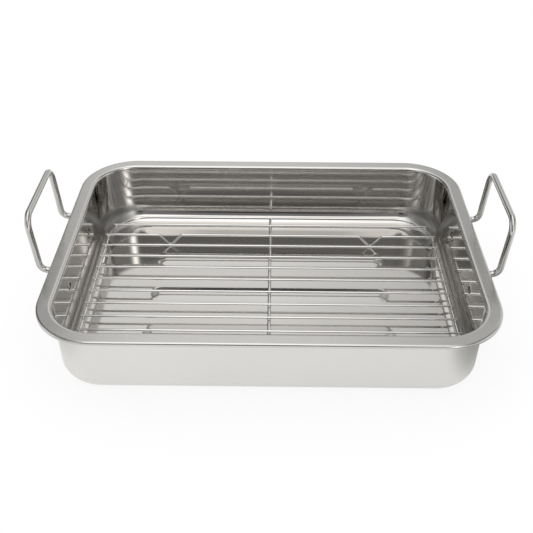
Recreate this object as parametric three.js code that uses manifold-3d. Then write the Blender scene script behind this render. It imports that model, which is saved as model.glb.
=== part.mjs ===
// Stainless roasting pan with two upright wire handles and a lift-out wire rack.
// Millimetres. +Z is up, +X runs along the pan, +Y is the side furthest from the viewer.
// The origin is on the table, under the middle of the pan.

import * as THREE from 'three';
import { mergeVertices } from 'three/addons/utils/BufferGeometryUtils.js';
import Module from 'manifold-3d';

const wasm = await Module();
wasm.setup();

// Pan
const panLength = 400;
const panWidth = 300;
const panHeight = 70;
const sheet = 0.8;
const rimReach = 13.4;
const rimCornerRadius = 55;
const wallDraft = 0.6;
const baseRadius = 14;
const rimBendRadius = 2.4;
const hemRadius = 2;
const hemDrop = 3;

// Beads pressed up in the floor, hollow from below
const beadCount = 3;
const beadLength = 244;
const beadPitch = 60;
const beadWidth = 26;
const beadRise = 1.3;

// Handles, whose tails are welded on the end walls
const handleWire = 6;
const handleSpan = 90;
const handleStandOff = 9.5;
const handleRise = 49.5;
const handleLean = 4;
const handleTail = 26;
const handleFootBend = 8;
const handleTailBend = 6;
const handleGripBend = 12;

// Rack, which is loose and lies a little nearer the front wall than the rear one
const rackShift = -2.8;
const rackWire = 2.4;
const frameWire = 3;
const crossWire = 3;
const rackRise = 13.5;
const rackEndClearance = 6.5;
const rackSideClearance = 7;
const rackCornerRadius = 40;
const wirePitchNominal = 19.5;
const wireOverhang = 2.5;
const legRow = 2;
const legReach = 109;
const legAngle = THREE.MathUtils.degToRad(48);
const legBendRadius = 3;

// Gap kept between pieces that are welded or rest on each other
const seatGap = 0.3;

// Facets
const cornerSteps = 9;
const filletSteps = 6;
const edgeSteps = 3;
const bendSteps = 5;
const handleSides = 12;
const wireSides = 8;

// Places worked out from the sizes above
const wallInset = rimReach;
const footInset = rimReach + wallDraft;
const floorInset = footInset + baseRadius;
const wallX = panLength / 2 - wallInset;
const cavityHalfLength = panLength / 2 - footInset - sheet;
const cavityHalfWidth = panWidth / 2 - footInset - sheet;
const wireZ = sheet + rackRise;
const frameZ = wireZ - rackWire / 2 - seatGap - frameWire / 2;
const crossZ = wireZ - rackWire / 2 - seatGap - crossWire / 2;
const frameHalfLength = cavityHalfLength - rackEndClearance - wireOverhang;
const frameHalfWidth = cavityHalfWidth - rackSideClearance - frameWire / 2;

const steel = { color: 0xc9c8c4, metalness: 1 };
const panMaterial = new THREE.MeshStandardMaterial({ ...steel, roughness: 0.22 });
const handleMaterial = new THREE.MeshStandardMaterial({ ...steel, color: 0xd2d0cc, roughness: 0.12 });
const rackMaterial = new THREE.MeshStandardMaterial({ ...steel, color: 0xd6d4d0, roughness: 0.15 });

function addPiece(parent, name, geometry, material) {
  const mesh = new THREE.Mesh(geometry, material);
  mesh.name = name;
  parent.add(mesh);
  return mesh;
}

function asSolid(geometry) {
  const bare = geometry.clone();
  bare.deleteAttribute('normal');
  bare.deleteAttribute('uv');
  const merged = mergeVertices(bare, 1e-4);
  const vertProperties = new Float32Array(merged.attributes.position.array);
  const triVerts = new Uint32Array(merged.index.array);
  return new wasm.Manifold(new wasm.Mesh({ numProp: 3, vertProperties, triVerts }));
}

function asGeometry(solid) {
  const mesh = solid.getMesh();
  const geometry = new THREE.BufferGeometry();
  geometry.setAttribute('position', new THREE.BufferAttribute(mesh.vertProperties, 3));
  geometry.setIndex(new THREE.BufferAttribute(mesh.triVerts, 1));
  geometry.computeVertexNormals();
  return geometry;
}

// A wire's axis: straight runs between corners, with a round bend at each corner.
// It has stations only where it turns, so straight runs stay one facet long.
class BentAxis extends THREE.Curve {
  constructor(corners, bendRadii, closed = false) {
    super();
    this.stations = [];
    this.closed = closed;
    const count = corners.length;
    for (let i = 0; i < count; i++) {
      const isEnd = !closed && (i === 0 || i === count - 1);
      if (isEnd) {
        const from = corners[Math.max(i - 1, 0)];
        const to = corners[Math.min(i + 1, count - 1)];
        this.stations.push({ point: corners[i], tangent: to.clone().sub(from).normalize() });
      } else {
        const before = corners[(i - 1 + count) % count];
        const after = corners[(i + 1) % count];
        this.addBend(before, corners[i], after, bendRadii[i]);
      }
    }
    this.segments = closed ? this.stations.length : this.stations.length - 1;
  }

  addBend(before, corner, after, radius) {
    const inward = corner.clone().sub(before).normalize();
    const outward = after.clone().sub(corner).normalize();
    const turn = inward.angleTo(outward);
    const reach = radius * Math.tan(turn / 2);
    const start = corner.clone().addScaledVector(inward, -reach);
    const side = outward.clone().addScaledVector(inward, -outward.dot(inward)).normalize();
    for (let k = 0; k <= bendSteps; k++) {
      const angle = (turn * k) / bendSteps;
      const point = start.clone();
      point.addScaledVector(inward, radius * Math.sin(angle));
      point.addScaledVector(side, radius * (1 - Math.cos(angle)));
      const tangent = inward.clone().multiplyScalar(Math.cos(angle));
      tangent.addScaledVector(side, Math.sin(angle));
      this.stations.push({ point, tangent });
    }
  }

  station(u) {
    return this.stations[Math.round(u * this.segments) % this.stations.length];
  }

  getPointAt(u, target = new THREE.Vector3()) {
    return target.copy(this.station(u).point);
  }

  getTangentAt(u, target = new THREE.Vector3()) {
    return target.copy(this.station(u).tangent);
  }
}

function roundSection(diameter, sides) {
  const points = [];
  for (let k = 0; k < sides; k++) {
    const angle = (2 * Math.PI * (k + 0.5)) / sides;
    points.push(new THREE.Vector2(Math.cos(angle), Math.sin(angle)).multiplyScalar(diameter / 2));
  }
  return new THREE.Shape(points);
}

function bentWire(axis, diameter, sides) {
  return new THREE.ExtrudeGeometry(roundSection(diameter, sides), {
    steps: axis.segments,
    extrudePath: axis,
  });
}

function straightWire(length, diameter) {
  return new THREE.CylinderGeometry(diameter / 2, diameter / 2, length, wireSides);
}

// Pan body

function rimOutline(inset) {
  const halfLength = panLength / 2 - inset;
  const halfWidth = panWidth / 2 - inset;
  const radius = rimCornerRadius - inset;
  const x = halfLength - radius;
  const y = halfWidth - radius;
  const points = [];
  const centres = [[x, y], [-x, y], [-x, -y], [x, -y]];
  centres.forEach(([cx, cy], quarter) => {
    for (let k = 0; k <= cornerSteps; k++) {
      const angle = (Math.PI / 2) * (quarter + k / cornerSteps);
      points.push(new THREE.Vector2(cx + radius * Math.cos(angle), cy + radius * Math.sin(angle)));
    }
  });
  return points;
}

// Points of an arc in the sheet's section, as pairs of inset from the rim edge and height
function sectionArc(centreInset, centreHeight, radius, fromDegrees, toDegrees, steps) {
  const points = [];
  for (let k = 0; k <= steps; k++) {
    const angle = THREE.MathUtils.degToRad(fromDegrees + ((toDegrees - fromDegrees) * k) / steps);
    points.push([centreInset + radius * Math.cos(angle), centreHeight + radius * Math.sin(angle)]);
  }
  return points;
}

// The sheet's section from the floor's upper face, up and over the rim, down to the underside
function panSection() {
  const rimTop = panHeight;
  const rimUnder = panHeight - sheet;
  const bendInset = wallInset - rimBendRadius;
  const bendHeight = rimUnder - rimBendRadius;
  const hemHeight = rimTop - hemRadius;
  return [
    ...sectionArc(floorInset, baseRadius, baseRadius - sheet, 270, 180, filletSteps),
    ...sectionArc(bendInset, bendHeight, rimBendRadius + sheet, 0, 90, edgeSteps),
    ...sectionArc(hemRadius, hemHeight, hemRadius, 90, 180, edgeSteps),
    [0, panHeight - hemDrop],
    [sheet, panHeight - hemDrop],
    ...sectionArc(hemRadius, hemHeight, hemRadius - sheet, 180, 90, edgeSteps),
    ...sectionArc(bendInset, bendHeight, rimBendRadius, 90, 0, edgeSteps),
    ...sectionArc(floorInset, baseRadius, baseRadius, 180, 270, filletSteps),
  ];
}

function panShell() {
  const section = panSection();
  const positions = [];
  const indices = [];
  for (const [inset, height] of section) {
    for (const point of rimOutline(inset)) {
      positions.push(point.x, point.y, height);
    }
  }
  const ringSize = 4 * (cornerSteps + 1);
  for (let ring = 0; ring + 1 < section.length; ring++) {
    for (let k = 0; k < ringSize; k++) {
      const next = (k + 1) % ringSize;
      const a = ring * ringSize + k;
      const b = a + ringSize;
      const c = ring * ringSize + next + ringSize;
      const d = ring * ringSize + next;
      indices.push(a, b, c, a, c, d);
    }
  }
  const lastRing = (section.length - 1) * ringSize;
  const floorCentre = positions.length / 3;
  positions.push(0, 0, sheet);
  const baseCentre = floorCentre + 1;
  positions.push(0, 0, 0);
  for (let k = 0; k < ringSize; k++) {
    const next = (k + 1) % ringSize;
    indices.push(floorCentre, k, next);
    indices.push(baseCentre, lastRing + next, lastRing + k);
  }
  const shell = new THREE.BufferGeometry();
  shell.setAttribute('position', new THREE.Float32BufferAttribute(positions, 3));
  shell.setIndex(indices);
  return shell;
}

// A flattened round-ended bar along X, whose upper half is a bead's shape
function beadBar(y, z) {
  const capSteps = 6;
  const sides = 24;
  const bar = new THREE.CapsuleGeometry(beadWidth / 2, beadLength - beadWidth, capSteps, sides);
  bar.rotateZ(Math.PI / 2);
  bar.scale(1, 1, (2 * beadRise) / beadWidth);
  bar.translate(0, y, z);
  return bar;
}

function panBody() {
  const aboveFloor = new THREE.BoxGeometry(panLength, panWidth, panHeight);
  aboveFloor.translate(0, 0, panHeight / 2 + sheet / 2);
  let solid = asSolid(panShell());
  for (let k = 0; k < beadCount; k++) {
    const y = (k - (beadCount - 1) / 2) * beadPitch;
    const crown = asSolid(beadBar(y, sheet)).intersect(asSolid(aboveFloor));
    const hollow = asSolid(beadBar(y, 0));
    solid = solid.add(crown).subtract(hollow);
  }
  return asGeometry(solid);
}

// The handle's line at the +X end: down the wall's outside, out under the rim and up round the grip
function handleAxis() {
  const tailX = wallX + seatGap + handleWire / 2;
  const stubZ = panHeight - hemDrop - seatGap - handleWire / 2;
  const tailEndZ = stubZ - handleTail;
  const armX = panLength / 2 + handleStandOff;
  const gripX = armX + handleLean;
  const gripZ = panHeight + handleRise;
  const halfSpan = handleSpan / 2;
  const corners = [
    new THREE.Vector3(tailX, -halfSpan, tailEndZ),
    new THREE.Vector3(tailX, -halfSpan, stubZ),
    new THREE.Vector3(armX, -halfSpan, stubZ),
    new THREE.Vector3(gripX, -halfSpan, gripZ),
    new THREE.Vector3(gripX, halfSpan, gripZ),
    new THREE.Vector3(armX, halfSpan, stubZ),
    new THREE.Vector3(tailX, halfSpan, stubZ),
    new THREE.Vector3(tailX, halfSpan, tailEndZ),
  ];
  const half = [0, handleTailBend, handleFootBend, handleGripBend];
  return new BentAxis(corners, [...half, ...half.toReversed()]);
}

// Each handle is made for the +X end, and turned half round for the other end
function addHandle(parent, name, turn) {
  const handle = addPiece(parent, name, bentWire(handleAxis(), handleWire, handleSides), handleMaterial);
  handle.rotation.z = turn;
}

// Rack

function rackFrame() {
  const corners = [
    new THREE.Vector3(frameHalfLength, frameHalfWidth, frameZ),
    new THREE.Vector3(-frameHalfLength, frameHalfWidth, frameZ),
    new THREE.Vector3(-frameHalfLength, -frameHalfWidth, frameZ),
    new THREE.Vector3(frameHalfLength, -frameHalfWidth, frameZ),
  ];
  const axis = new BentAxis(corners, corners.map(() => rackCornerRadius), true);
  return new THREE.TubeGeometry(axis, axis.segments, frameWire / 2, wireSides, true);
}

// Half the length of the wire that crosses the frame at a given y, which is less at the round corners
function wireHalfLength(y) {
  const intoCorner = Math.abs(y) - (frameHalfWidth - rackCornerRadius);
  if (intoCorner <= 0) {
    return frameHalfLength + wireOverhang;
  }
  const cornerX = Math.sqrt(rackCornerRadius ** 2 - intoCorner ** 2);
  return frameHalfLength - rackCornerRadius + cornerX + wireOverhang;
}

// A cross bar with two V bends whose points stand on the pan's floor
function legWire(halfLength) {
  const footZ = sheet + seatGap + rackWire / 2;
  const bendDip = legBendRadius * (1 / Math.cos(legAngle) - 1);
  const tipZ = footZ - bendDip;
  const legHalfWidth = (wireZ - tipZ) / Math.tan(legAngle);
  const profile = [
    [-halfLength, wireZ],
    [-legReach - legHalfWidth, wireZ],
    [-legReach, tipZ],
    [-legReach + legHalfWidth, wireZ],
    [legReach - legHalfWidth, wireZ],
    [legReach, tipZ],
    [legReach + legHalfWidth, wireZ],
    [halfLength, wireZ],
  ];
  const corners = profile.map(([x, z]) => new THREE.Vector3(x, 0, z));
  const axis = new BentAxis(corners, corners.map(() => legBendRadius));
  return bentWire(axis, rackWire, wireSides);
}

function addRack(parent) {
  addPiece(parent, 'rack_frame', rackFrame(), rackMaterial);

  const gaps = Math.round((2 * frameHalfWidth) / wirePitchNominal);
  const wirePitch = (2 * frameHalfWidth) / gaps;
  let straightCount = 0;
  for (let row = 1; row < gaps; row++) {
    const y = frameHalfWidth - row * wirePitch;
    const halfLength = wireHalfLength(y);
    if (row === legRow || row === gaps - legRow) {
      const name = row === legRow ? 'rack_leg_wire_rear' : 'rack_leg_wire_front';
      const leg = addPiece(parent, name, legWire(halfLength), rackMaterial);
      leg.position.y = y;
    } else {
      straightCount += 1;
      const name = `rack_wire_${String(straightCount).padStart(2, '0')}`;
      const wire = addPiece(parent, name, straightWire(2 * halfLength, rackWire), rackMaterial);
      wire.rotation.z = Math.PI / 2;
      wire.position.set(0, y, wireZ);
    }
  }

  const crossLength = 2 * (frameHalfWidth - frameWire / 2 - seatGap);
  const cross = addPiece(parent, 'rack_cross_wire', straightWire(crossLength, crossWire), rackMaterial);
  cross.position.z = crossZ;
}

const roastingPan = new THREE.Group();

const pan = new THREE.Group();
roastingPan.add(pan);
addPiece(pan, 'pan_body', panBody(), panMaterial);
addHandle(pan, 'right_handle', 0);
addHandle(pan, 'left_handle', Math.PI);

const rack = new THREE.Group();
rack.position.y = rackShift;
roastingPan.add(rack);
addRack(rack);

export default roastingPan;
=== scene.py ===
# Looks for the stainless roasting pan: finer sheet and wire surfaces, steel finishes, studio and camera.
# Metres, in the part's own frame: +X along the pan, +Y to the rear, +Z up.
import math
from collections import namedtuple

import bmesh
import bpy
from mathutils import Matrix, Vector
from mathutils.geometry import delaunay_2d_cdt


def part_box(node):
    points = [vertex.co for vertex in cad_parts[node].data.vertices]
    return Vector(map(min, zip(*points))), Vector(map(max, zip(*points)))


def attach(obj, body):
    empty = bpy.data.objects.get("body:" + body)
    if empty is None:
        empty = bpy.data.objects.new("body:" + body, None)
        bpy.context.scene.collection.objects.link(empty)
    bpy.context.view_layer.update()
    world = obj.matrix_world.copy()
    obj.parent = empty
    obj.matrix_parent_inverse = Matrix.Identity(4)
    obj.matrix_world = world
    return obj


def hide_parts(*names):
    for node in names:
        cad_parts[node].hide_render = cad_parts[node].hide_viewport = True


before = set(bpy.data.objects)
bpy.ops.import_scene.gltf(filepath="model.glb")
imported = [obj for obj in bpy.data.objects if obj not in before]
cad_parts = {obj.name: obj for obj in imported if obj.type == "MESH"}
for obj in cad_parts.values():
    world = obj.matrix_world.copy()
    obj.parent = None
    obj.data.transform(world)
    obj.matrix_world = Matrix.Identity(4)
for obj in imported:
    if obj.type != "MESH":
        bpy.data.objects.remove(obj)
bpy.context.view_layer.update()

MM = 0.001

# Pan sheet
SHEET = 0.8 * MM
RIM_REACH = 13.4 * MM
RIM_CORNER_RADIUS = 55 * MM
WALL_DRAFT = 0.6 * MM
BASE_RADIUS = 14 * MM
RIM_BEND_RADIUS = 2.4 * MM
HEM_RADIUS = 2 * MM
HEM_DROP = 3 * MM
# How much of the rim's bend still has the polish of the inside
BROW_DEGREES = 15

# Floor beads
BEAD_ROWS = (-60 * MM, 0, 60 * MM)
BEAD_LENGTH = 244 * MM
BEAD_RISE = 1.3 * MM
BEAD_HALF_WIDTH = 13 * MM
BEAD_HALF_RUN = BEAD_LENGTH / 2 - BEAD_HALF_WIDTH

# Inside the long walls the floor rises a little before it turns up: width, bend and slope of each rise
FLOOR_SWEEP = 23 * MM
FLOOR_RISES = ((FLOOR_SWEEP, 5 * MM, 0.14), (10 * MM, 5 * MM, 0.07))

# Handles
HANDLE_RADIUS = 3 * MM
HANDLE_HALF_SPAN = 45 * MM
HANDLE_STAND_OFF = 9.5 * MM
HANDLE_RISE = 49.5 * MM
HANDLE_LEAN = 4 * MM
HANDLE_FOOT_BEND = 8 * MM
HANDLE_TAIL_BEND = 6 * MM
HANDLE_GRIP_BEND = 12 * MM
HANDLE_TAIL = 26 * MM

# Spot welds that hold the handle tails, which show as dents inside the end walls with a pit in each
TAIL_WELD_HEIGHT = 45 * MM
TAIL_WELD_SIZE = Vector((1.0, 2.4, 6.0)) * MM
DENT_RADIUS = 8 * MM
DENT_DEPTH = 0.15 * MM
PIT_RADIUS = 5 * MM
PIT_DEPTH = 0.6 * MM

# Rack
RACK_WIRE_RADIUS = 1.2 * MM
FRAME_WIRE_RADIUS = 1.5 * MM
RACK_CORNER_RADIUS = 40 * MM
LEG_REACH = 109 * MM
LEG_ANGLE = math.radians(48)
LEG_BEND_RADIUS = 3 * MM
WELD_SIZE = Vector((2.0, 1.8, 0.9)) * MM

# Gap between pieces that are welded or rest on each other
SEAT_GAP = 0.3 * MM

# Share of a wire's radius that is rounded off at its cut ends
CUT_EDGE = 0.45

# Camera, as fitted to the photograph: angles, the rim's middle in its axes (right, down, forward) and lens
CAMERA_PITCH = math.radians(36.88)
CAMERA_YAW = math.radians(-0.59)
CAMERA_ROLL = math.radians(0.18)
RIM_IN_CAMERA = Vector((3.11, -27.0, 746.78)) * MM
FOCAL_PIXELS = 780.28
PHOTO_PIXELS = 533
SENSOR_WIDTH = 36

# Facets
CORNER_STEPS = 28
FILLET_STEPS = 14
EDGE_STEPS = 6
BEND_STEPS = 14
END_STEPS = 5
HANDLE_SIDES = 28
WIRE_SIDES = 18
WELD_ROWS = 6
WELD_SIDES = 14
BEAD_STEPS = 12
BEAD_RUN_STEPS = 12
DENT_STEPS = 12
SIDE_STEPS = 10
SWEEP_STEPS = 20

# Short flat strips beside each bend, which keep the shading of flat stretches flat
SECTION_GUARD = 0.6 * MM
OUTLINE_GUARD = 2 * MM
GUARDED_FROM = 4 * SECTION_GUARD

# Points closer than this are one
SAME_PLACE = 1e-7

pan_low, pan_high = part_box("pan_body")
PAN_LENGTH = pan_high.x - pan_low.x
PAN_WIDTH = pan_high.y - pan_low.y
PAN_HEIGHT = pan_high.z
FOOT_INSET = RIM_REACH + WALL_DRAFT
FLOOR_INSET = FOOT_INSET + BASE_RADIUS
SIDE_HALF_LENGTH = PAN_LENGTH / 2 - RIM_CORNER_RADIUS
END_HALF_LENGTH = PAN_WIDTH / 2 - RIM_CORNER_RADIUS
FLOOR_HALF_WIDTH = PAN_WIDTH / 2 - FLOOR_INSET
END_WALL_X = PAN_LENGTH / 2 - RIM_REACH
# Up to this height the foot of the wall follows the floor's rise
SWEEP_TOP = BASE_RADIUS + 2 * SECTION_GUARD


# Meshes

class Surface:
    """Points and faces of one piece, with lengths around and along it at each face corner, for the grain."""

    def __init__(self):
        self.points = []
        self.faces = []
        self.grain = []
        self.slots = []

    def point(self, place):
        self.points.append(tuple(place))
        return len(self.points) - 1

    def face(self, corners, grain, slot=0):
        self.faces.append(corners)
        self.grain.append(grain)
        self.slots.append(slot)

    def band(self, first, second, around, along_first, along_second, slot=0):
        """Quads between two rings. Around has the place of each point, and one more where the ring closes."""
        count = len(first)
        for k in range(count):
            following = (k + 1) % count
            corners = (first[k], first[following], second[following], second[k])
            grain = (
                (around[k], along_first),
                (around[k + 1], along_first),
                (around[k + 1], along_second),
                (around[k], along_second),
            )
            self.face(corners, grain, slot)

    def fan(self, ring, middle, along):
        """Triangles that close a ring to a point in its middle."""
        place = (0, along)
        for k, corner in enumerate(ring):
            self.face((corner, ring[(k + 1) % len(ring)], middle), (place, place, place))

    def make(self, name, body, node, slot, materials):
        """Makes the piece, which moves with a body and stands for a node of the part."""
        mesh = bpy.data.meshes.new(name)
        mesh.from_pydata(self.points, [], self.faces)
        layer = mesh.uv_layers.new(name="grain")
        places = [place for grain in self.grain for place in grain]
        for corner, place in zip(layer.data, places):
            corner.uv = place
        mesh.polygons.foreach_set("material_index", self.slots)
        work = bmesh.new()
        work.from_mesh(mesh)
        bmesh.ops.recalc_face_normals(work, faces=work.faces)
        work.to_mesh(mesh)
        work.free()
        mesh.shade_smooth()
        for material in materials:
            mesh.materials.append(material)
        piece = bpy.data.objects.new(name, mesh)
        bpy.context.scene.collection.objects.link(piece)
        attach(piece, body)
        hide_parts(node)


def arc(centre, radius, from_degrees, to_degrees, steps):
    """Points along an arc in a plane."""
    points = []
    for k in range(steps + 1):
        angle = math.radians(from_degrees + (to_degrees - from_degrees) * k / steps)
        points.append(Vector(centre) + Vector((math.cos(angle), math.sin(angle))) * radius)
    return points


def soft_hill(away, radius):
    """A round hill's height from 1 in its middle to 0 at its edge."""
    return (1 + math.cos(math.pi * min(away / radius, 1))) / 2


# Pan

# A ring of points around the pan: its corners, its outline and the lengths along that, how far along the
# sheet's section it lies, and the material slot of the faces before it
Ring = namedtuple("Ring", "corners outline lengths along slot")


def dent_places(middle):
    """Places across a weld dent, with a guard on both sides of it."""
    places = [middle + DENT_RADIUS * k / DENT_STEPS for k in range(-DENT_STEPS, DENT_STEPS + 1)]
    return [places[0] - SECTION_GUARD, *places, places[-1] + SECTION_GUARD]


def side_places():
    """Places along a long side."""
    return [SIDE_HALF_LENGTH * k / SIDE_STEPS for k in range(1 - SIDE_STEPS, SIDE_STEPS)]


def rim_outline(inset):
    """The pan's outline at an inset from the rim's edge, and the length along it at each of its points."""
    radius = RIM_CORNER_RADIUS - inset
    along_sides = side_places()
    along_ends = dent_places(-HANDLE_HALF_SPAN) + dent_places(HANDLE_HALF_SPAN)
    points = []
    for quarter, (x, y) in enumerate(((1, 1), (-1, 1), (-1, -1), (1, -1))):
        centre = Vector((x * SIDE_HALF_LENGTH, y * END_HALF_LENGTH))
        bend = arc(centre, radius, 90 * quarter, 90 * quarter + 90, CORNER_STEPS)
        points.append(bend[0] - (bend[0] - centre).orthogonal().normalized() * OUTLINE_GUARD)
        points.extend(bend)
        points.append(bend[-1] + (bend[-1] - centre).orthogonal().normalized() * OUTLINE_GUARD)
        if quarter in (0, 2):
            points += [Vector((-y * k, bend[-1].y)) for k in along_sides]
        else:
            points += [Vector((bend[-1].x, x * k)) for k in along_ends]
    lengths = [0]
    for k, point in enumerate(points):
        lengths.append(lengths[-1] + (points[(k + 1) % len(points)] - point).length)
    return points, lengths


def with_guards(runs):
    """The runs joined into one line, with guard points at both ends of each long straight stretch between."""
    line = list(runs[0])
    for run in runs[1:]:
        stretch = run[0] - line[-1]
        if stretch.length > GUARDED_FROM:
            step = stretch.normalized() * SECTION_GUARD
            line += [line[-1] + step, run[0] - step]
        line += run
    return line


def pan_sections():
    """The sheet's section in insets and heights: inside of floor and wall, rim, outside of wall and base."""
    foot_centre = (FLOOR_INSET, BASE_RADIUS)
    bend_centre = (RIM_REACH - RIM_BEND_RADIUS, PAN_HEIGHT - SHEET - RIM_BEND_RADIUS)
    hem_centre = (HEM_RADIUS, PAN_HEIGHT - HEM_RADIUS)
    hem_end = PAN_HEIGHT - HEM_DROP
    foot = arc(foot_centre, BASE_RADIUS - SHEET, 270, 180, FILLET_STEPS)
    brow = arc(bend_centre, RIM_BEND_RADIUS + SHEET, 0, BROW_DEGREES, 1)
    lean = (brow[0].x - foot[-1].x) / (brow[0].y - foot[-1].y)
    dent_levels = [Vector((foot[-1].x + lean * (z - foot[-1].y), z)) for z in dent_places(TAIL_WELD_HEIGHT)]
    inside = with_guards([[Vector((FLOOR_INSET + SECTION_GUARD, SHEET))], foot, dent_levels, brow])
    rim = with_guards([
        arc(bend_centre, RIM_BEND_RADIUS + SHEET, BROW_DEGREES, 90, EDGE_STEPS),
        arc(hem_centre, HEM_RADIUS, 90, 180, EDGE_STEPS),
        arc((SHEET / 2, hem_end), SHEET / 2, 180, 360, EDGE_STEPS),
    ])
    outside = with_guards([
        [rim[-1]],
        arc(hem_centre, HEM_RADIUS - SHEET, 180, 90, EDGE_STEPS),
        arc(bend_centre, RIM_BEND_RADIUS, 90, 0, EDGE_STEPS),
        arc(foot_centre, BASE_RADIUS, 180, 270, FILLET_STEPS),
        [Vector((FLOOR_INSET + SECTION_GUARD, 0))],
    ])
    return inside, rim, outside


def bead_lift(x, y):
    """How far a floor bead raises the sheet: a low soft ridge with round ends."""
    beyond = max(abs(x) - BEAD_HALF_RUN, 0)
    away = min(math.hypot(beyond, y - row) for row in BEAD_ROWS)
    return BEAD_RISE * soft_hill(away, BEAD_HALF_WIDTH)


def sweep_lift(y):
    """How far the floor inside has risen on its way to a long wall."""
    lift = 0
    in_foot = max(abs(y) - FLOOR_HALF_WIDTH, 0)
    for width, bend, slope in FLOOR_RISES:
        past = max(abs(y) - FLOOR_HALF_WIDTH + width, 0)
        in_bend = min(past, bend)
        lift += slope * (past - in_bend + in_bend ** 2 / (2 * bend) - in_foot ** 2 / (2 * BASE_RADIUS))
    return lift


def floor_height(x, y):
    """The height of the floor inside."""
    lift = bead_lift(x, y) + sweep_lift(y)
    return SHEET + lift


def wall_dent(point, z):
    """How far a weld dents an end wall outward."""
    if abs(point.y) > END_HALF_LENGTH:
        return 0
    away = math.hypot(abs(point.y) - HANDLE_HALF_SPAN, z - TAIL_WELD_HEIGHT)
    depth = DENT_DEPTH * soft_hill(away, DENT_RADIUS) + PIT_DEPTH * soft_hill(away, PIT_RADIUS)
    return math.copysign(depth, point.x)


def inside_point(point, z):
    """A point of the pan's inside, with the floor's rise and the weld dents."""
    lift = sweep_lift(point.y) if z < SWEEP_TOP else 0
    return (point.x + wall_dent(point, z), point.y, z + lift)


def bead_grid():
    """Points of the floor that carry the beads, close together across each bead and at its ends."""
    outward = [BEAD_HALF_WIDTH * k / BEAD_STEPS for k in range(1, BEAD_STEPS + 1)]
    outward.append(BEAD_HALF_WIDTH + SECTION_GUARD)
    across = [-y for y in reversed(outward)] + [0, *outward]
    ends = [BEAD_HALF_RUN + x for x in (0, *outward)]
    along = [-x for x in reversed(ends)]
    along += [BEAD_HALF_RUN * (2 * k / BEAD_RUN_STEPS - 1) for k in range(1, BEAD_RUN_STEPS)]
    along += ends
    return [Vector((x, row + y)) for row in BEAD_ROWS for y in across for x in along]


def sweep_grid():
    """Points of the floor that carry its rise beside the long walls."""
    corner_radius = RIM_CORNER_RADIUS - FLOOR_INSET - OUTLINE_GUARD
    places = []
    for k in range(SWEEP_STEPS):
        y = FLOOR_HALF_WIDTH - FLOOR_SWEEP + FLOOR_SWEEP * k / SWEEP_STEPS
        into_corner = y - END_HALF_LENGTH
        if into_corner > corner_radius:
            break
        reach = SIDE_HALF_LENGTH + math.sqrt(corner_radius ** 2 - into_corner ** 2)
        for x in (-reach, *side_places(), reach):
            places += [Vector((x, y)), Vector((x, -y))]
    return places


def fill_floor(surface, ring, inner_places, height_at):
    """Closes a ring of the pan with a floor that has the given places in it."""
    count = len(ring.corners)
    places = [Vector(p) for p in ring.outline] + inner_places
    edges = [(k, (k + 1) % count) for k in range(count)]
    flat, _, triangles, sources, _, _ = delaunay_2d_cdt(places, edges, [], 1, SAME_PLACE)
    corners = []
    for place, source in zip(flat, sources):
        on_ring = [k for k in source if k < count]
        if on_ring:
            corners.append(ring.corners[on_ring[0]])
        else:
            corners.append(surface.point((place.x, place.y, height_at(place.x, place.y))))
    for triangle in triangles:
        grain = tuple((flat[k].x, flat[k].y) for k in triangle)
        surface.face(tuple(corners[k] for k in triangle), grain, ring.slot)


def pan_rings(surface):
    """The rings of the pan, from the floor's edge inside, up and over the rim, to the edge of the base."""
    rings = []
    along = 0
    previous = None
    for slot, section in enumerate(pan_sections()):
        for place in section:
            step = (place - previous).length if previous else 0
            if previous and step < SAME_PLACE:
                continue
            previous = place
            along += step
            outline, lengths = rim_outline(place.x)
            if slot == 0:
                points = [inside_point(p, place.y) for p in outline]
            else:
                points = [(p.x, p.y, place.y) for p in outline]
            corners = [surface.point(p) for p in points]
            rings.append(Ring(corners, outline, lengths, along, slot))
    return rings


def make_pan(materials):
    """The pan, with one material each for its inside, its rim and its outside."""
    surface = Surface()
    rings = pan_rings(surface)
    for first, second in zip(rings, rings[1:]):
        surface.band(first.corners, second.corners, first.lengths, first.along, second.along, second.slot)
    fill_floor(surface, rings[0], bead_grid() + sweep_grid(), floor_height)
    fill_floor(surface, rings[-1], bead_grid(), bead_lift)
    surface.make("pan_shell", "pan", "pan_body", "pan_steel", materials)


# Wires

# A place along a wire: its middle, two directions across the wire, the radius there and the length so far
Station = namedtuple("Station", "centre across up radius along")


def bent_path(corners, radius_at, closed=False):
    """A path of straight runs with a round bend at each corner."""
    path = []
    count = len(corners)
    for i, corner in enumerate(corners):
        if not closed and i in (0, count - 1):
            path.append(corner)
            continue
        inward = (corner - corners[i - 1]).normalized()
        outward = (corners[(i + 1) % count] - corner).normalized()
        turn = inward.angle(outward)
        radius = radius_at[i]
        start = corner - inward * radius * math.tan(turn / 2)
        side = (outward - inward * outward.dot(inward)).normalized()
        for k in range(BEND_STEPS + 1):
            angle = turn * k / BEND_STEPS
            path.append(start + inward * radius * math.sin(angle) + side * radius * (1 - math.cos(angle)))
    return path


def path_tangents(path, closed):
    tangents = []
    for i, place in enumerate(path):
        ahead = path[(i + 1) % len(path)] - place if closed or i + 1 < len(path) else Vector()
        behind = place - path[i - 1] if closed or i else Vector()
        tangents.append((ahead.normalized() + behind.normalized()).normalized())
    return tangents


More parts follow.
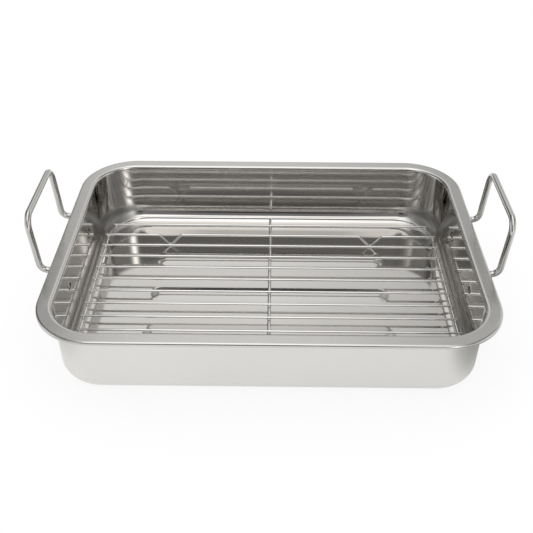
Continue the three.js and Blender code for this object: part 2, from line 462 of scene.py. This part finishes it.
def wire_stations(path, radius, closed):
    """The stations of a round wire along a path. An open wire has softened cut ends."""
    tangents = path_tangents(path, closed)
    edge = CUT_EDGE * radius
    stations = []
    up = tangents[0].orthogonal().normalized()
    along = 0
    for i, (place, tangent) in enumerate(zip(path, tangents)):
        along += (place - path[i - 1]).length if i else 0
        up = (up - tangent * up.dot(tangent)).normalized()
        across = tangent.cross(up)
        if closed or 0 < i < len(path) - 1:
            stations.append(Station(place, across, up, radius, along))
            continue
        inward = tangent if i == 0 else -tangent
        rounded = []
        for k in range(END_STEPS + 1):
            angle = math.pi / 2 * k / END_STEPS
            centre = place + inward * edge * (1 - math.cos(angle))
            rounded.append(Station(centre, across, up, radius - edge + edge * math.sin(angle), along))
        stations += rounded if i == 0 else reversed(rounded)
    return stations


def sweep(surface, path, radius, sides, closed=False):
    """A round wire along a path."""
    stations = wire_stations(path, radius, closed)
    around = [2 * math.pi * radius * k / sides for k in range(sides + 1)]
    rings = []
    for station in stations:
        ring = []
        for k in range(sides):
            angle = 2 * math.pi * k / sides
            offset = station.across * math.cos(angle) + station.up * math.sin(angle)
            ring.append(surface.point(station.centre + offset * station.radius))
        rings.append(ring)
    for i in range(len(rings) - 1):
        surface.band(rings[i], rings[i + 1], around, stations[i].along, stations[i + 1].along)
    length = stations[-1].along
    if closed:
        surface.band(rings[-1], rings[0], around, length, length + (path[0] - path[-1]).length)
    else:
        surface.fan(rings[0], surface.point(path[0]), 0)
        surface.fan(rings[-1], surface.point(path[-1]), length)


def add_weld(surface, centre, size):
    """A rounded bead of weld metal where two pieces touch."""
    around = [k / WELD_SIDES * math.pi * 2 * size.x for k in range(WELD_SIDES + 1)]
    rings = []
    for row in range(1, WELD_ROWS):
        angle = math.pi * row / WELD_ROWS
        ring = []
        for k in range(WELD_SIDES):
            turn = 2 * math.pi * k / WELD_SIDES
            level = Vector((math.cos(turn), math.sin(turn), 0)) * math.sin(angle)
            ring.append(surface.point(centre + size * (level - Vector((0, 0, math.cos(angle))))))
        rings.append(ring)
    for first, second in zip(rings, rings[1:]):
        surface.band(first, second, around, 0, size.z)
    surface.fan(rings[0], surface.point(centre - Vector((0, 0, size.z))), 0)
    surface.fan(rings[-1], surface.point(centre + Vector((0, 0, size.z))), 0)


# Handles

def handle_path(end):
    """The handle's line at the +X end (end 1) or the -X end (end -1)."""
    tail_x = END_WALL_X + SEAT_GAP + HANDLE_RADIUS
    arm_x = PAN_LENGTH / 2 + HANDLE_STAND_OFF
    grip_x = arm_x + HANDLE_LEAN
    stub_z = PAN_HEIGHT - HEM_DROP - SEAT_GAP - HANDLE_RADIUS
    grip_z = PAN_HEIGHT + HANDLE_RISE
    profile = [(tail_x, stub_z - HANDLE_TAIL), (tail_x, stub_z), (arm_x, stub_z), (grip_x, grip_z)]
    near = [Vector((end * x, -HANDLE_HALF_SPAN, z)) for x, z in profile]
    far = [Vector((end * x, HANDLE_HALF_SPAN, z)) for x, z in reversed(profile)]
    bends = [0, HANDLE_TAIL_BEND, HANDLE_FOOT_BEND, HANDLE_GRIP_BEND]
    return bent_path(near + far, bends + bends[::-1])


def make_handle(side, end, material):
    surface = Surface()
    sweep(surface, handle_path(end), HANDLE_RADIUS, HANDLE_SIDES)
    weld_x = end * (END_WALL_X + SEAT_GAP)
    for y in (-HANDLE_HALF_SPAN, HANDLE_HALF_SPAN):
        add_weld(surface, Vector((weld_x, y, TAIL_WELD_HEIGHT)), TAIL_WELD_SIZE)
    surface.make(f"{side}_handle_wire", "pan", f"{side}_handle", "handle_steel", [material])


# Rack

def middle_of(node):
    low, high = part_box(node)
    return (low + high) / 2


def frame_shape():
    """The middle of the rack's frame and half the lengths of its wire's line."""
    low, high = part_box("rack_frame")
    half = (high - low) / 2
    return middle_of("rack_frame"), half.x - FRAME_WIRE_RADIUS, half.y - FRAME_WIRE_RADIUS


def frame_x_at(y):
    """Where the rack's frame crosses a line along X."""
    centre, half_length, half_width = frame_shape()
    into_corner = abs(y - centre.y) - (half_width - RACK_CORNER_RADIUS)
    if into_corner <= 0:
        return half_length
    return half_length - RACK_CORNER_RADIUS + math.sqrt(RACK_CORNER_RADIUS ** 2 - into_corner ** 2)


def make_rack_piece(surface, node, material):
    surface.make(f"{node}_bar", "rack", node, "rack_chrome", [material])


def make_rack_frame(material):
    centre, half_length, half_width = frame_shape()
    signs = ((1, 1), (-1, 1), (-1, -1), (1, -1))
    corners = [centre + Vector((x * half_length, y * half_width, 0)) for x, y in signs]
    path = bent_path(corners, [RACK_CORNER_RADIUS] * len(corners), closed=True)
    surface = Surface()
    sweep(surface, path, FRAME_WIRE_RADIUS, WIRE_SIDES, closed=True)
    make_rack_piece(surface, "rack_frame", material)


def add_crossing_welds(surface, y, wire_z):
    """The welds of a wire along X to the frame and the cross wire under it."""
    weld_z = wire_z - RACK_WIRE_RADIUS - SEAT_GAP / 2
    for x in (-frame_x_at(y), 0, frame_x_at(y)):
        add_weld(surface, Vector((x, y, weld_z)), WELD_SIZE)


def make_straight_wire(node, material):
    centre = middle_of(node)
    half_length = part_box(node)[1].x
    path = [Vector((x, centre.y, centre.z)) for x in (-half_length, half_length)]
    surface = Surface()
    sweep(surface, path, RACK_WIRE_RADIUS, WIRE_SIDES)
    add_crossing_welds(surface, centre.y, centre.z)
    make_rack_piece(surface, node, material)


def make_leg_wire(node, material):
    """A wire with two V bends that stand on the floor."""
    y = middle_of(node).y
    half_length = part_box(node)[1].x
    wire_z = middle_of("rack_wire_01").z
    foot_z = SHEET + SEAT_GAP + RACK_WIRE_RADIUS
    tip_z = foot_z - LEG_BEND_RADIUS * (1 / math.cos(LEG_ANGLE) - 1)
    spread = (wire_z - tip_z) / math.tan(LEG_ANGLE)
    profile = [
        (half_length, wire_z),
        (LEG_REACH + spread, wire_z),
        (LEG_REACH, tip_z),
        (LEG_REACH - spread, wire_z),
    ]
    left = [Vector((-x, y, z)) for x, z in profile]
    right = [Vector((x, y, z)) for x, z in reversed(profile)]
    path = bent_path(left + right, [LEG_BEND_RADIUS] * len(left + right))
    surface = Surface()
    sweep(surface, path, RACK_WIRE_RADIUS, WIRE_SIDES)
    add_crossing_welds(surface, y, wire_z)
    make_rack_piece(surface, node, material)


def make_cross_wire(material):
    node = "rack_cross_wire"
    low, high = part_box(node)
    ends = [Vector((0, y, middle_of(node).z)) for y in (low.y, high.y)]
    surface = Surface()
    sweep(surface, ends, FRAME_WIRE_RADIUS, WIRE_SIDES)
    for place in ends:
        add_weld(surface, place, WELD_SIZE)
    make_rack_piece(surface, node, material)


# Shader nodes

class Nodes:
    """The nodes of a material or a world, with short ways to add the usual ones."""

    def __init__(self, owner):
        owner.use_nodes = True
        self.nodes = owner.node_tree.nodes
        self.links = owner.node_tree.links

    def new(self, kind):
        return self.nodes.new(f"ShaderNode{kind}")

    def feed(self, socket, value):
        """Sets a socket to a constant, or links it to another node's output."""
        if isinstance(value, bpy.types.NodeSocket):
            self.links.new(value, socket)
        else:
            socket.default_value = value

    def coordinates(self, kind):
        """Places in the object's own axes, or a world's directions."""
        return self.new("TexCoord").outputs[kind]

    def axes(self, vector):
        """The X, Y and Z of a vector, by name."""
        node = self.new("SeparateXYZ")
        self.feed(node.inputs["Vector"], vector)
        return node.outputs

    def math(self, operation, *values):
        node = self.new("Math")
        node.operation = operation
        for socket, value in zip(node.inputs, values):
            self.feed(socket, value)
        return node.outputs["Value"]

    def mix(self, factor, first, second):
        node = self.new("Mix")
        node.data_type = "FLOAT"
        for name, value in (("Factor", factor), ("A", first), ("B", second)):
            self.feed(node.inputs[name], value)
        return node.outputs["Result"]

    def blend(self, factor, first, second):
        """A colour between two others, each of them given or taken from another node."""
        node = self.new("Mix")
        node.data_type = "RGBA"
        self.feed(node.inputs["Factor"], factor)
        for name, colour in (("A", first), ("B", second)):
            self.feed(node.inputs[name], (*colour, 1) if isinstance(colour, tuple) else colour)
        return node.outputs["Result"]

    def spread(self, value, from_low, from_high, low=0, high=1, smooth=False):
        """Maps a value from one range to another, and holds it at both ends."""
        node = self.new("MapRange")
        node.interpolation_type = "SMOOTHSTEP" if smooth else "LINEAR"
        names = ("Value", "From Min", "From Max", "To Min", "To Max")
        for name, given in zip(names, (value, from_low, from_high, low, high)):
            self.feed(node.inputs[name], given)
        return node.outputs["Result"]

    def ramp(self, value, stops):
        """Looks a value up in a list of places and brightnesses, in order of place."""
        first = stops[0][0]
        last = stops[-1][0]
        node = self.new("ValToRGB")
        elements = node.color_ramp.elements
        while len(elements) < len(stops):
            elements.new(1)
        for element, (place, bright) in zip(elements, stops):
            element.position = (place - first) / (last - first)
            element.color = (bright, bright, bright, 1)
        self.feed(node.inputs["Fac"], self.spread(value, first, last))
        return node.outputs["Color"]


# Materials

# Noise: scale per metre of the grain's lines, around a piece and along it, and of smears and waves over it
SHEET_GRAIN = (3, 1400, 1)
WIRE_GRAIN = (2600, 9, 1)
SMEAR_SCALE = (14, 14, 14)
WAVE_SCALE = (11, 11, 16)
FINE_DETAIL = 4
WAVE_DETAIL = 1
NOISE_ROUGHNESS = 0.6
# The sum of lines and smears at which the metal is smoothest, and at which it is roughest
UNEVEN_FROM = 0.7
UNEVEN_TO = 1.3

# Painted dark reflection in the weld dents: near-black, matt marks, wider than high, that stand in for the
# dark the dented steel reflects
PAINTED_WELD_REFLECTION_COLOUR = (0.02, 0.019, 0.018)
WELD_MARK_INNER = 2.2 * MM
WELD_MARK_OUTER = 4 * MM
WELD_MARK_STRETCH = 1.5

# The foot of the end walls and of the corners, where the drawn sheet is less polished and the corners' foot
# also has painted shade: past which place on each axis they lie, and where they start over the floor and end
# up the wall, with the width of each change
END_FOOT = (("X", SIDE_HALF_LENGTH),)
CORNER_FOOT = (("X", SIDE_HALF_LENGTH), ("Y", END_HALF_LENGTH))
END_FOOT_ROUGHNESS = 0.24
CORNER_FOOT_ROUGHNESS = 0.36
# Painted shade: the colour of the corners' foot, darker where the corners lie in shade and reflect the pan's
# own walls
CORNER_FOOT_PAINTED_SHADE = (0.34, 0.332, 0.32)
FOOT_SIDE_BLEND = 20 * MM
FOOT_START = SHEET + 0.4 * MM
FOOT_START_BLEND = 3 * MM
FOOT_TOP = BASE_RADIUS + 2 * MM
FOOT_TOP_BLEND = 12 * MM


class Finish(Nodes):
    """A metal finish: a Principled shader with its nodes."""

    def __init__(self, name):
        self.material = bpy.data.materials.new(name)
        super().__init__(self.material)
        self.shader = self.nodes["Principled BSDF"]
        self.put("Metallic", 1)
        grain = self.new("UVMap")
        grain.uv_map = "grain"
        self.grain = grain.outputs["UV"]
        self.place = self.coordinates("Object")

    def put(self, name, value):
        """Feeds an input of the shader."""
        self.feed(self.shader.inputs[name], value)

    def noise(self, vector, scale, detail):
        """Noise over the grain or the object, with its own scale on each axis."""
        mapping = self.new("Mapping")
        self.feed(mapping.inputs["Vector"], vector)
        self.feed(mapping.inputs["Scale"], scale)
        texture = self.new("TexNoise")
        self.feed(texture.inputs["Vector"], mapping.outputs["Vector"])
        self.feed(texture.inputs["Scale"], 1)
        self.feed(texture.inputs["Detail"], detail)
        self.feed(texture.inputs["Roughness"], NOISE_ROUGHNESS)
        return texture.outputs["Fac"]

    def painted_weld_reflection(self):
        """1 on the painted dark reflection at the spot welds that show inside the end walls, and 0 away from
        them.
        """
        axes = self.axes(self.place)
        aside = self.math("SUBTRACT", self.math("ABSOLUTE", axes["Y"]), HANDLE_HALF_SPAN)
        aside = self.math("DIVIDE", aside, WELD_MARK_STRETCH)
        above = self.math("SUBTRACT", axes["Z"], TAIL_WELD_HEIGHT)
        squares = [self.math("MULTIPLY", offset, offset) for offset in (aside, above)]
        away = self.math("SQRT", self.math("ADD", *squares))
        near = self.spread(away, WELD_MARK_INNER, WELD_MARK_OUTER, 1, 0, smooth=True)
        at_end = self.math("GREATER_THAN", self.math("ABSOLUTE", axes["X"]), SIDE_HALF_LENGTH)
        return self.math("MULTIPLY", at_end, near)

    def wall_foot(self, starts):
        """1 on the foot of the walls inside, past the given place on each axis, and 0 away from it."""
        axes = self.axes(self.place)
        off_floor = self.spread(axes["Z"], FOOT_START, FOOT_START + FOOT_START_BLEND, smooth=True)
        low = self.spread(axes["Z"], FOOT_TOP, FOOT_TOP + FOOT_TOP_BLEND, 1, 0, smooth=True)
        foot = self.math("MULTIPLY", off_floor, low)
        for axis, start in starts:
            away = self.math("ABSOLUTE", axes[axis])
            past = self.spread(away, start, start + FOOT_SIDE_BLEND, smooth=True)
            foot = self.math("MULTIPLY", foot, past)
        return foot

    def bump(self, value, depth, below=None):
        """Normals of a bump of the given depth, on top of another one where that is given."""
        node = self.new("Bump")
        self.feed(node.inputs["Distance"], depth)
        self.feed(node.inputs["Strength"], 1)
        self.feed(node.inputs["Height"], value)
        if below:
            self.feed(node.inputs["Normal"], below)
        return node.outputs["Normal"]


def mark_inside(finish, colour, roughness):
    """Adds what only the pan's inside has: matt, near-black weld marks that are painted dark reflection, the
    less polished foot of its walls, and painted shade in the foot of its corners.
    """
    weld_reflection_mask = finish.painted_weld_reflection()
    corner_foot = finish.wall_foot(CORNER_FOOT)
    # Painted reflection: the weld marks are near-black and lose their metal. Painted shade: the corners' foot
    # is darker.
    colour = finish.blend(weld_reflection_mask, colour, PAINTED_WELD_REFLECTION_COLOUR)
    colour = finish.blend(corner_foot, colour, CORNER_FOOT_PAINTED_SHADE)
    roughness = finish.mix(finish.wall_foot(END_FOOT), roughness, END_FOOT_ROUGHNESS)
    roughness = finish.mix(corner_foot, roughness, CORNER_FOOT_ROUGHNESS)
    finish.put("Metallic", finish.math("SUBTRACT", 1, weld_reflection_mask))
    finish.put("Specular IOR Level", 0)
    return colour, roughness


def steel_finish(name, dark, light, rough, grain_scale, grain_depth, wave_depth, inside=False):
    """Polished steel: fine lines along the grain, faint smears and the slight waves of drawn sheet."""
    finish = Finish(name)
    lines = finish.noise(finish.grain, grain_scale, FINE_DETAIL)
    smears = finish.noise(finish.place, SMEAR_SCALE, FINE_DETAIL)
    waves = finish.noise(finish.place, WAVE_SCALE, WAVE_DETAIL)
    colour = finish.blend(smears, dark, light)
    roughness = finish.spread(finish.math("ADD", lines, smears), UNEVEN_FROM, UNEVEN_TO, *rough)
    if inside:
        colour, roughness = mark_inside(finish, colour, roughness)
    finish.put("Base Color", colour)
    finish.put("Roughness", roughness)
    finish.put("Normal", finish.bump(lines, grain_depth, finish.bump(waves, wave_depth)))
    return finish.material


def make_materials():
    return {
        "inside": steel_finish(
            "polished_sheet", (0.6, 0.584, 0.562), (0.66, 0.643, 0.62), rough=(0.06, 0.11),
            grain_scale=SHEET_GRAIN, grain_depth=0.0004 * MM, wave_depth=0.1 * MM, inside=True),
        "rim": steel_finish(
            "satin_rim", (0.56, 0.551, 0.532), (0.65, 0.64, 0.618), rough=(0.17, 0.28),
            grain_scale=SHEET_GRAIN, grain_depth=0.008 * MM, wave_depth=0.1 * MM),
        "outside": steel_finish(
            "satin_sheet", (0.69, 0.683, 0.658), (0.77, 0.762, 0.735), rough=(0.3, 0.42),
            grain_scale=SHEET_GRAIN, grain_depth=0.004 * MM, wave_depth=0.15 * MM),
        "handle": steel_finish(
            "polished_wire", (0.55, 0.54, 0.522), (0.61, 0.599, 0.58), rough=(0.13, 0.19),
            grain_scale=WIRE_GRAIN, grain_depth=0.0006 * MM, wave_depth=0.02 * MM),
        "rack": steel_finish(
            "plated_wire", (0.7, 0.695, 0.68), (0.78, 0.775, 0.76), rough=(0.08, 0.16),
            grain_scale=WIRE_GRAIN, grain_depth=0.0004 * MM, wave_depth=0.01 * MM),
    }


# Stage

FLOOR_SIZE = 12
FLOOR_DROP = 0.2 * MM
FLOOR_COLOUR = (0.88, 0.88, 0.875)
# How much of the floor glows, to the camera and in the steel
FLOOR_GLOW = 0.85
FLOOR_GLOW_IN_STEEL = 0.75
# How bright that glow is in the steel at a place along the pan, in metres
FLOOR_SIDES = (
    (-0.33, 1), (-0.28, 0.75), (-0.24, 0.65), (-0.2, 1.06), (-0.1, 1.06), (0, 1),
    (0.18, 0.97), (0.215, 0.3), (0.25, 0.1), (0.28, 0.6), (0.33, 1),
)
SOFTBOX_SIZE = 1.6
SOFTBOX_PLACE = (-0.5, -0.3, 2.2)
SOFTBOX_POWER = 8

# How bright the room is at an angle in degrees, up from the rear horizon and over the top
OVERHEAD = ((0, 0.72), (28, 0.79), (36, 0.9), (58, 0.98), (72, 1.7), (180, 1.7))
# How much of that is left at a place from -1 at the far left to 1 at the far right, low at the rear and above
SIDES_LOW = (
    (-1, 0.7), (-0.93, 0.7), (-0.88, 0.12), (-0.48, 0.1), (-0.44, 0.6), (-0.33, 0.6), (-0.3, 0.35),
    (-0.262, 0.3), (-0.235, 1), (-0.2, 1.02), (0, 1.04), (0.15, 0.86), (0.2, 0.78), (0.245, 0.5),
    (0.29, 0.45), (0.35, 0.85), (0.46, 1.1), (0.6, 1.05), (0.84, 0.9), (1, 0.7),
)
SIDES_ABOVE = (
    (-1, 0.7), (-0.92, 0.7), (-0.86, 0.2), (-0.42, 0.15), (-0.36, 0.2), (-0.3, 0.8), (-0.2, 1.02),
    (0, 1.04), (0.15, 0.88), (0.3, 0.56), (0.42, 0.25), (0.57, 0.2), (0.86, 0.2), (0.92, 0.7), (1, 0.7),
)
# The angles between which the one gives way to the other
LOW_UP_TO = 42
ABOVE_FROM = 56
# Along the rear horizon the room is evenly bright, up to an angle from which the sides show
HORIZON_LEVEL = 0.95
HORIZON_UP_TO = 6
SIDES_FROM = 14
# How bright the room's front side is at such a place
FRONT = (
    (-1, 1), (-0.9, 1), (-0.8, 0.15), (-0.7, 0.3), (-0.64, 0.95), (-0.56, 0.95), (-0.45, 0.5),
    (-0.3, 0.28), (-0.15, 0.24), (0, 0.23), (0.15, 0.25), (0.24, 0.4), (0.34, 1.8), (0.4, 2.8),
    (0.46, 2.4), (0.55, 0.9), (0.7, 0.3), (0.83, 0.3), (0.9, 1), (1, 1),
)
# The angle where the front side starts, in the middle and to both sides, and the width of the change
FRONT_START = 124
FRONT_START_ASIDE = 128
FRONT_BLEND = 9
# A dim stretch low in the middle of the front side, where the camera stands
DIM_LEVEL = 0.3
DIM_INNER = 0.08
DIM_OUTER = 0.15
DIM_UP_TO = 0.4
DIM_CLEAR_FROM = 0.55
# How bright the room is where it lights matt surfaces
AMBIENT = 1.1


def floor_material():
    """A pale floor that takes the pan's shadow. It glows, to the camera evenly and in the steel in bands."""
    material = bpy.data.materials.new("pale_floor")
    tree = Nodes(material)
    tree.nodes.clear()
    rays = tree.new("LightPath").outputs
    shown = tree.math("MULTIPLY", rays["Is Camera Ray"], FLOOR_GLOW)
    for kind in ("Is Glossy Ray", "Is Transmission Ray"):
        in_steel = tree.math("MULTIPLY", rays[kind], FLOOR_GLOW_IN_STEEL)
        shown = tree.math("MAXIMUM", shown, in_steel)
    diffuse = tree.new("BsdfDiffuse")
    tree.feed(diffuse.inputs["Color"], (*FLOOR_COLOUR, 1))
    bands = tree.ramp(tree.axes(tree.coordinates("Object"))["X"], FLOOR_SIDES)
    glow = tree.new("Emission")
    tree.feed(glow.inputs["Strength"], tree.mix(rays["Is Camera Ray"], bands, 1))
    mix = tree.new("MixShader")
    tree.feed(mix.inputs["Fac"], shown)
    tree.feed(mix.inputs[1], diffuse.outputs["BSDF"])
    tree.feed(mix.inputs[2], glow.outputs["Emission"])
    output = tree.new("OutputMaterial")
    tree.feed(output.inputs["Surface"], mix.outputs["Shader"])
    return material


def make_floor():
    half = FLOOR_SIZE / 2
    corners = [(x * half, y * half, -FLOOR_DROP) for x, y in ((-1, -1), (1, -1), (1, 1), (-1, 1))]
    mesh = bpy.data.meshes.new("floor")
    mesh.from_pydata(corners, [], [(0, 1, 2, 3)])
    mesh.materials.append(floor_material())
    floor = bpy.data.objects.new("floor", mesh)
    bpy.context.scene.collection.objects.link(floor)


def make_world():
    """A white room, dim behind the camera and lit to both sides of it. The camera sees plain white."""
    world = bpy.data.worlds.new("studio")
    bpy.context.scene.world = world
    tree = Nodes(world)
    axes = tree.axes(tree.coordinates("Generated"))
    sideways = tree.math("ABSOLUTE", axes["X"])
    angle = tree.math("DEGREES", tree.math("ARCTAN2", axes["Z"], axes["Y"]))
    is_above = tree.spread(angle, LOW_UP_TO, ABOVE_FROM, smooth=True)
    sides = tree.mix(is_above, tree.ramp(axes["X"], SIDES_LOW), tree.ramp(axes["X"], SIDES_ABOVE))
    off_horizon = tree.spread(angle, HORIZON_UP_TO, SIDES_FROM, smooth=True)
    sides = tree.mix(off_horizon, HORIZON_LEVEL, sides)
    over = tree.math("MULTIPLY", tree.ramp(angle, OVERHEAD), sides)
    dim = tree.spread(sideways, DIM_INNER, DIM_OUTER, DIM_LEVEL, 1, smooth=True)
    clear = tree.spread(axes["Z"], DIM_UP_TO, DIM_CLEAR_FROM, smooth=True)
    front = tree.math("MULTIPLY", tree.ramp(axes["X"], FRONT), tree.math("MAXIMUM", dim, clear))
    start = tree.spread(sideways, DIM_INNER, DIM_OUTER, FRONT_START, FRONT_START_ASIDE, smooth=True)
    in_front = tree.spread(tree.math("SUBTRACT", angle, start), 0, FRONT_BLEND, smooth=True)
    rays = tree.new("LightPath").outputs
    mirrored = tree.mix(rays["Is Glossy Ray"], AMBIENT, tree.mix(in_front, over, front))
    background = tree.nodes["Background"]
    tree.feed(background.inputs["Color"], (1, 1, 1, 1))
    tree.feed(background.inputs["Strength"], tree.mix(rays["Is Camera Ray"], mirrored, 1))


def make_light():
    """A soft light from above that shows in the shadow on the floor and not as a shape in the steel."""
    lamp = bpy.data.lights.new("softbox", "AREA")
    lamp.shape = "SQUARE"
    lamp.size = SOFTBOX_SIZE
    lamp.energy = SOFTBOX_POWER
    softbox = bpy.data.objects.new("softbox", lamp)
    softbox.location = SOFTBOX_PLACE
    softbox.rotation_euler = Vector(SOFTBOX_PLACE).to_track_quat("Z", "Y").to_euler()
    softbox.visible_glossy = False
    bpy.context.scene.collection.objects.link(softbox)


def make_camera():
    tilt = Matrix((
        (1, 0, 0),
        (0, -math.sin(CAMERA_PITCH), -math.cos(CAMERA_PITCH)),
        (0, math.cos(CAMERA_PITCH), -math.sin(CAMERA_PITCH)),
    ))
    to_camera = Matrix.Rotation(CAMERA_ROLL, 3, "Z") @ tilt @ Matrix.Rotation(CAMERA_YAW, 3, "Z")
    place = Vector((0, 0, PAN_HEIGHT)) - to_camera.transposed() @ RIM_IN_CAMERA
    axes = Matrix((to_camera[0], -to_camera[1], -to_camera[2])).transposed()
    lens = bpy.data.cameras.new("camera")
    lens.sensor_width = SENSOR_WIDTH
    lens.lens = SENSOR_WIDTH * (FOCAL_PIXELS / PHOTO_PIXELS)
    camera = bpy.data.objects.new("camera", lens)
    camera.matrix_world = Matrix.Translation(place) @ axes.to_4x4()
    bpy.context.scene.collection.objects.link(camera)
    bpy.context.scene.camera = camera


finishes = make_materials()
make_pan([finishes["inside"], finishes["rim"], finishes["outside"]])
for side, end in (("left", -1), ("right", 1)):
    make_handle(side, end, finishes["handle"])
make_rack_frame(finishes["rack"])
make_cross_wire(finishes["rack"])
for node in sorted(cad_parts):
    if node.startswith("rack_wire_"):
        make_straight_wire(node, finishes["rack"])
    elif node.startswith("rack_leg_wire_"):
        make_leg_wire(node, finishes["rack"])
make_floor()
make_world()
make_light()
make_camera()
bpy.context.scene.view_settings.view_transform = "Standard"
